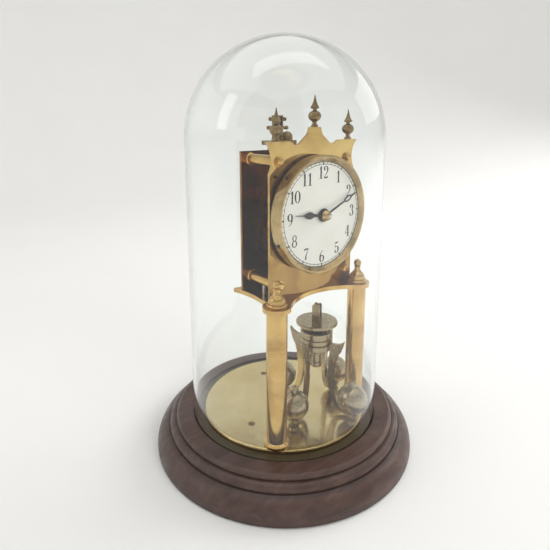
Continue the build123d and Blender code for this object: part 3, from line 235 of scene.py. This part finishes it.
def wood():
    """Dark stained wood under old wax: straight grain along X, worn patches, scratches, and painted shade in
    the turned steps, at the foot and in the dome's groove.
    """
    shader = Shader("dark_wood")
    grain = shader.noise(26, 8, 0.62, (0.35, 5.0, 5.0), 0.6)
    tone = shader.ramp(
        grain, [(0.30, (0.042, 0.020, 0.015)), (0.52, (0.070, 0.034, 0.026)), (0.74, (0.108, 0.060, 0.046))]
    )
    wear = shader.spread(shader.noise(34, 6, 0.7, (1, 1, 2.2)), 0.0, 0.45, 0.52, 0.74)
    worn = shader.mix(wear, tone, (0.145, 0.088, 0.070))
    share_of_height = shader.spread(shader.height(), 0.0, 1.0, 0.0, BASE_HEIGHT)
    # Painted shade: the wood is darkened at the foot and in the turned steps.
    step_shaded = shader.mix(1.0, worn, shader.ramp(share_of_height, WOOD_PAINTED_SHADE), "MULTIPLY")
    # Painted shade: inside the dome's groove the wood turns to a dark olive tone.
    groove_shade = shader.spread(shader.from_axis(), 0.85, 0.0, GROOVE_RADIUS - GROOVE_BLEND, GROOVE_RADIUS)
    shaded = shader.mix(groove_shade, step_shaded, GROOVE_SHADE_TONE)
    scratches = shader.noise(420, 3, 0.6, (0.10, 1.0, 3.0))
    lines = shader.spread(scratches, 0.0, 0.35, 0.66, 0.74)
    colour = shader.mix(lines, shaded, (0.17, 0.12, 0.10))
    gloss = shader.spread(shader.noise(90, 4), 0.40, 0.62)
    pores = shader.bump(grain, 0.30, 0.18 * MM)
    normal = shader.bump(scratches, 0.22, 0.06 * MM, pores)
    shader.set(Coat_Weight=0.35, Coat_Roughness=0.26)
    return shader.finish(colour, gloss, normal)


def glass():
    """Old blown glass: clear, faintly green, with a slow waviness and traces of a dull film."""
    shader = Shader("dome_glass")
    tint = shader.ramp(shader.noise(14, 2), [(0.3, (0.985, 1.0, 0.995)), (0.7, (0.97, 0.99, 0.985))])
    waves = shader.noise(9, 1, 0.4, (1, 1, 0.35))
    film = shader.spread(shader.noise(60, 5), 0.0, 0.012, 0.45, 0.75)
    shader.set(Transmission_Weight=1.0, IOR=1.46)
    return shader.finish(tint, film, shader.bump(waves, 0.10, 0.5 * MM))


def enamel():
    """Cream dial enamel with faint clouding and tiny dark flecks."""
    shader = Shader("dial_enamel")
    base = shader.ramp(shader.noise(60, 5), [(0.3, (0.92, 0.90, 0.84)), (0.7, (0.87, 0.845, 0.77))])
    flecks = shader.spread(shader.noise(2200, 2), 0.0, 0.5, 0.73, 0.80)
    colour = shader.mix(flecks, base, (0.35, 0.30, 0.22))
    gloss = shader.spread(shader.noise(300, 3), 0.16, 0.26)
    shader.set(Coat_Weight=0.5, Coat_Roughness=0.08)
    return shader.finish(colour, gloss, shader.bump(shader.noise(240, 2), 0.08, 0.05 * MM))


def ink(name, tone, roughness):
    """Black paint or fired print, slightly uneven."""
    shader = Shader(name)
    lighter = tuple(part * 2.2 + 0.004 for part in tone)
    colour = shader.ramp(shader.noise(1500, 3), [(0.35, tone), (0.75, lighter)])
    gloss = shader.spread(shader.noise(800, 2), roughness, roughness + 0.15)
    return shader.finish(colour, gloss, shader.bump(shader.noise(1800, 2), 0.1, 0.01 * MM))


def studio(name, tone):
    """Matte paper for the floor and its sweep."""
    shader = Shader(name)
    dark = tuple(part * 0.985 for part in tone)
    colour = shader.ramp(shader.noise(6, 3), [(0.3, tone), (0.7, dark)])
    shader.set(Roughness=0.85)
    return shader.finish(colour)


plate_low, plate_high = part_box("base_plate")
PLATE_RIM = (plate_high.x - plate_low.x) / 2
MATERIALS = {
    "wood": wood(),
    "plate_brass": brass(
        "plate_brass", (0.84, 0.70, 0.39), (0.73, 0.57, 0.27), (0.08, 0.20), spots=0.35, cloud=30,
        rim=PLATE_RIM,
    ),
    "brass": brass(
        "polished_brass", (0.74, 0.50, 0.18), (0.58, 0.34, 0.10), (0.08, 0.22), spots=0.45, stain=0.45
    ),
    "satin_brass": brass(
        "satin_brass", (0.60, 0.45, 0.22), (0.40, 0.27, 0.11), (0.07, 0.18), spots=0.3, cloud=30, stain=0.6,
        relief=0.02,
    ),
    # Painted shade: a darker copy of the brass for the movement's inside, standing in for the shade between
    # the plates.
    "inner_brass": brass(
        "inner_brass", (0.50, 0.24, 0.08), (0.20, 0.10, 0.04), (0.08, 0.20), cloud=70, stain=0.6, relief=0.05
    ),
    "aged_brass": brass("aged_brass", (0.32, 0.22, 0.10), (0.17, 0.11, 0.05), (0.20, 0.40)),
    "pendulum_brass": brass(
        "pendulum_brass", (0.45, 0.37, 0.24), (0.35, 0.28, 0.17), (0.16, 0.30), spots=0.12, relief=0.02
    ),
    "wheel_brass": brass("wheel_brass", (0.56, 0.33, 0.11), (0.36, 0.19, 0.06), (0.18, 0.34)),
    "steel": steel("bright_steel", (0.62, 0.61, 0.60), (0.45, 0.44, 0.43), (0.20, 0.38)),
    "dark_steel": steel("blued_steel", (0.10, 0.10, 0.13), (0.05, 0.045, 0.05), (0.24, 0.42)),
    "hand_steel": ink("hand_black", (0.006, 0.006, 0.008), 0.25),
    "dial_enamel": enamel(),
    "glass": glass(),
}
front_low, front_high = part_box("front_plate")
# The front plate's brass, with painted shade darkening it towards its foot.
front_brass = brass(
    "front_brass", (0.80, 0.58, 0.22), (0.58, 0.36, 0.12), (0.06, 0.16), spots=0.45, cloud=28, stain=0.7,
    relief=0.06,
    painted_foot_shade=(front_low.z + 10 * MM, front_high.z - 30 * MM, 0.68),
)
print_ink = ink("dial_print", (0.012, 0.011, 0.010), 0.35)

slots = {entry["node"]: entry["material_slot"] for entry in frame["record"]["subparts"]}
for name, node in frame["nodes"].items():
    node.data.materials.clear()
    node.data.materials.append(MATERIALS[slots[name]])
frame["nodes"]["front_plate"].data.materials[0] = front_brass
frame["nodes"]["glass_dome"].visible_shadow = False


# --- printed dial -------------------------------------------------------------------------
# Each stroke is a list of (x, y, width) in digit heights, drawn as a smooth ribbon.
def bowl(x, y, rx, ry, start, end, thick, thin, count=24):
    """Part of an oval stroke that is thick at its sides and thin at its top and bottom."""
    points = []
    for index in range(count + 1):
        angle = math.radians(start + (end - start) * index / count)
        width = thin + (thick - thin) * abs(math.cos(angle)) ** 1.6
        points.append((x + rx * math.cos(angle), y + ry * math.sin(angle), width))
    return points


THICK, THIN = 0.16, 0.045
DIGITS = {
    "0": [bowl(0, 0.5, 0.23, 0.47, 0, 360, THICK, THIN)],
    "1": [
        [(0.02, 0.02, THICK), (0.02, 0.98, THICK)],
        [(-0.17, 0.02, 0.04), (0.21, 0.02, 0.04)],
        [(-0.17, 0.78, 0.03), (-0.08, 0.83, 0.05), (0.02, 0.96, 0.08)],
    ],
    "2": [
        bowl(-0.13, 0.73, 0.05, 0.05, 0, 360, 0.09, 0.09, 10),
        bowl(0, 0.71, 0.20, 0.26, 160, -20, THICK, THIN),
        [(0.185, 0.62, 0.12), (0.10, 0.42, 0.08), (-0.08, 0.22, 0.05), (-0.20, 0.07, 0.04)],
        [(-0.22, 0.06, 0.11), (0.0, 0.06, 0.12), (0.16, 0.06, 0.11), (0.23, 0.20, 0.03)],
    ],
    "3": [
        bowl(-0.12, 0.80, 0.04, 0.04, 0, 360, 0.08, 0.08, 10),
        bowl(-0.01, 0.75, 0.17, 0.22, 150, -90, THICK, THIN),
        bowl(-0.02, 0.27, 0.21, 0.26, 90, -150, THICK, THIN),
        bowl(-0.16, 0.20, 0.04, 0.04, 0, 360, 0.08, 0.08, 10),
    ],
    "4": [
        [(0.09, 0.02, THICK), (0.09, 0.97, THICK)],
        [(0.05, 0.95, 0.04), (-0.24, 0.30, 0.045)],
        [(-0.26, 0.29, 0.05), (0.25, 0.29, 0.05)],
        [(-0.03, 0.02, 0.04), (0.21, 0.02, 0.04)],
    ],
    "5": [
        [(-0.15, 0.90, 0.11), (0.05, 0.91, 0.12), (0.19, 0.95, 0.05)],
        [(-0.15, 0.94, 0.035), (-0.17, 0.52, 0.035)],
        bowl(-0.02, 0.31, 0.22, 0.28, 130, -145, THICK, THIN),
        bowl(-0.16, 0.20, 0.04, 0.04, 0, 360, 0.08, 0.08, 10),
    ],
    "6": [
        bowl(0, 0.30, 0.20, 0.28, 0, 360, THICK, THIN),
        [(-0.20, 0.32, THICK), (-0.18, 0.60, 0.11), (-0.04, 0.86, 0.06), (0.15, 0.97, 0.035)],
    ],
    "7": [
        [(-0.22, 0.78, 0.03), (-0.18, 0.92, 0.10), (0.0, 0.92, 0.12), (0.22, 0.94, 0.07)],
        [(0.21, 0.93, 0.04), (0.05, 0.60, 0.07), (-0.05, 0.30, 0.12), (-0.07, 0.03, 0.14)],
    ],
    "8": [
        bowl(0, 0.74, 0.17, 0.23, 0, 360, 0.10, THIN),
        bowl(0, 0.27, 0.21, 0.26, 0, 360, 0.12, THIN),
    ],
    "9": [
        bowl(0, 0.70, 0.20, 0.28, 0, 360, THICK, THIN),
        [(0.20, 0.68, THICK), (0.18, 0.40, 0.11), (0.04, 0.14, 0.06), (-0.15, 0.03, 0.035)],
    ],
}
dial_low, dial_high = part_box("dial")
dial_centre = (dial_low + dial_high) / 2
dial_face = dial_low.y
PRINT_DEPTH = 0.04 * MM
SMOOTH_STEPS = 6
FINE_STROKE = 12  # a stroke with more points than this is smooth already


def between(p, q, r, s, t):
    """The Catmull-Rom value at t on the way from q to r, p and s being the values beyond them."""
    return 0.5 * (2 * q + (r - p) * t + (2 * p - 5 * q + 4 * r - s) * t**2 + (3 * q - p - 3 * r + s) * t**3)


def smooth(points):
    """Points along a Catmull-Rom curve through a stroke's points."""
    if len(points) < 3 or len(points) > FINE_STROKE:
        return points
    ends = [points[0], *points, points[-1]]
    path = []
    for span in zip(ends, ends[1:], ends[2:], ends[3:]):
        for step in range(SMOOTH_STEPS):
            path.append(tuple(between(*values, step / SMOOTH_STEPS) for values in zip(*span)))
    path.append(points[-1])
    return path


def ribbon(mesh, points, place, size):
    """Adds one raised stroke to a bmesh, at a place on the dial's face."""
    rings = []
    for index, (x, y, width) in enumerate(points):
        before = points[max(index - 1, 0)]
        after = points[min(index + 1, len(points) - 1)]
        along = Vector((after[0] - before[0], after[1] - before[1], 0)).normalized()
        across = Vector((-along.y, along.x, 0)) * width / 2
        ring = []
        for side in (1, -1):
            u = place[0] + (x + side * across.x) * size
            v = place[1] + (y + side * across.y) * size
            for depth in (PRINT_DEPTH, 0.0):
                ring.append(mesh.verts.new((dial_centre.x + u, dial_face - depth, dial_centre.z + v)))
        rings.append(ring)
    for a, b in zip(rings, rings[1:]):
        mesh.faces.new((a[0], b[0], b[2], a[2]))
        mesh.faces.new((a[1], b[1], b[0], a[0]))
        mesh.faces.new((a[2], b[2], b[3], a[3]))


def piece(name, mesh, material, body):
    """Makes an object from a bmesh, with its material and slot, riding on a body."""
    data = bpy.data.meshes.new(name)
    bmesh.ops.recalc_face_normals(mesh, faces=mesh.faces)
    mesh.to_mesh(data)
    mesh.free()
    data.materials.append(material)
    thing = bpy.data.objects.new(name, data)
    scene.collection.objects.link(thing)
    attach(thing, body)


NUMERAL_RADIUS = 29.0 * MM
NUMERAL_HEIGHT = 8.3 * MM
DIGIT_PITCH = 0.56
numerals = bmesh.new()
for hour in range(1, 13):
    angle = math.radians(90 - 30 * hour)
    middle = Vector((math.cos(angle), math.sin(angle))) * NUMERAL_RADIUS
    text = str(hour)
    for index, digit in enumerate(text):
        offset = (index - (len(text) - 1) / 2) * DIGIT_PITCH * NUMERAL_HEIGHT
        place = (middle.x + offset, middle.y - NUMERAL_HEIGHT / 2)
        for stroke in DIGITS[digit]:
            ribbon(numerals, smooth(stroke), place, NUMERAL_HEIGHT)
piece("dial_numerals", numerals, print_ink, "case")

# The minute track, in millimetres.
TRACK_INNER, TRACK_OUTER = 34.4, 35.9
TRACK_LINE = 0.36
TRACK_SPANS = 120
HOUR_TICK = (34.0, 36.4, 0.95)  # inner radius, outer radius, width
MINUTE_TICK = (TRACK_INNER, TRACK_OUTER, 0.34)


def on_circle(radius, turn):
    """The point at that radius and share of a whole turn."""
    angle = 2 * math.pi * turn
    return (radius * math.cos(angle), radius * math.sin(angle))


track = bmesh.new()
for radius in (TRACK_OUTER, TRACK_INNER):
    circle = [(*on_circle(radius, index / TRACK_SPANS), TRACK_LINE) for index in range(TRACK_SPANS + 1)]
    ribbon(track, circle, (0, 0), MM)
for minute in range(60):
    inner, outer, width = MINUTE_TICK if minute % 5 else HOUR_TICK
    tick = [(*on_circle(radius, minute / 60), width) for radius in (inner, outer)]
    ribbon(track, tick, (0, 0), MM)
piece("dial_minute_track", track, print_ink, "case")


# --- studio -------------------------------------------------------------------------------
# A round floor of paper that curves up into a wall on all sides, in metres.
SWEEP_RADIUS = 2.3
SWEEP_CURVE = 1.2
SWEEP_TOP = 1.7
SWEEP_SIDES = 72
SWEEP_STEPS = 12
curve_start = SWEEP_RADIUS - SWEEP_CURVE
profile = [(0.3, 0.0), (0.8, 0.0), (curve_start, 0.0)]
for step in range(1, SWEEP_STEPS + 1):
    angle = math.pi / 2 * step / SWEEP_STEPS
    profile.append((curve_start + SWEEP_CURVE * math.sin(angle), SWEEP_CURVE - SWEEP_CURVE * math.cos(angle)))
profile.append((SWEEP_RADIUS, SWEEP_TOP))
sweep = bmesh.new()
rings = [
    [sweep.verts.new((*on_circle(radius, side / SWEEP_SIDES), height)) for side in range(SWEEP_SIDES)]
    for radius, height in profile
]
centre = sweep.verts.new((0, 0, 0))
for side in range(SWEEP_SIDES):
    following = (side + 1) % SWEEP_SIDES
    sweep.faces.new((centre, rings[0][side], rings[0][following]))
    for a, b in zip(rings, rings[1:]):
        sweep.faces.new((a[side], b[side], b[following], a[following]))
for face in sweep.faces:
    face.smooth = True
sweep_data = bpy.data.meshes.new("studio_sweep")
sweep.to_mesh(sweep_data)
sweep.free()
sweep_data.materials.append(studio("studio_paper", (0.86, 0.86, 0.85)))
floor = bpy.data.objects.new("studio_sweep", sweep_data)
scene.collection.objects.link(floor)

world = bpy.data.worlds.new("studio_world")
world.use_nodes = True
background = world.node_tree.nodes["Background"]
background.inputs["Color"].default_value = (1.0, 0.995, 0.98, 1.0)
background.inputs["Strength"].default_value = 0.42
scene.world = world


def softbox(name, place, target, size, power, mirrored=True, behind_glass=True):
    """A rectangular studio light in metres and watts, pointed at a target.

    mirrored and behind_glass say if its own shape shows in polished surfaces and through the dome.
    """
    data = bpy.data.lights.new(name, "AREA")
    data.shape = "RECTANGLE"
    data.size, data.size_y = size
    data.energy = power
    data.color = (1.0, 0.99, 0.97)
    light = bpy.data.objects.new(name, data)
    light.location = place
    light.rotation_mode = "QUATERNION"
    light.rotation_quaternion = (Vector(target) - Vector(place)).to_track_quat("-Z", "Y")
    light.visible_glossy = mirrored
    light.visible_transmission = behind_glass
    light.visible_camera = False
    scene.collection.objects.link(light)


softbox("overhead", (0.0, 0.1, 1.5), (0, 0.1, 0), (2.4, 2.4), 9.5)
softbox("window_left", (-1.50, 0.60, 0.95), (0, 0, 0.20), (0.4, 1.0), 2.2)
softbox("window_right", (1.35, -0.25, 0.78), (0, 0, 0.0), (1.0, 0.5), 8, mirrored=False, behind_glass=False)
softbox("window_haze", (1.35, -0.30, 0.75), (0, 0, 0.0), (1.05, 0.6), 3, behind_glass=False)
softbox("window_front", (0.1, -1.45, 0.85), (0, 0, 0.15), (0.8, 0.5), 7, mirrored=False, behind_glass=False)
softbox("backdrop_wash", (0.1, 0.15, 2.1), (0.75, 1.95, 0.90), (1.8, 1.2), 7)

# --- camera, at the photo's angle ---------------------------------------------------------
CAMERA_PLACE = (-223.5 * MM, -265.1 * MM, 246.8 * MM)
HEADING = math.radians(38.99)  # turned from +Y towards +X
DIP = math.radians(11.48)
camera_data = bpy.data.cameras.new("camera")
camera_data.sensor_width = 36.0
camera_data.lens = 30.95
camera_data.shift_y = -0.1064
camera_data.clip_start = 0.01
camera = bpy.data.objects.new("camera", camera_data)
camera.location = CAMERA_PLACE
aim = Vector((math.sin(HEADING) * math.cos(DIP), math.cos(HEADING) * math.cos(DIP), -math.sin(DIP)))
camera.rotation_mode = "QUATERNION"
camera.rotation_quaternion = aim.to_track_quat("-Z", "Y")
scene.collection.objects.link(camera)
scene.camera = camera
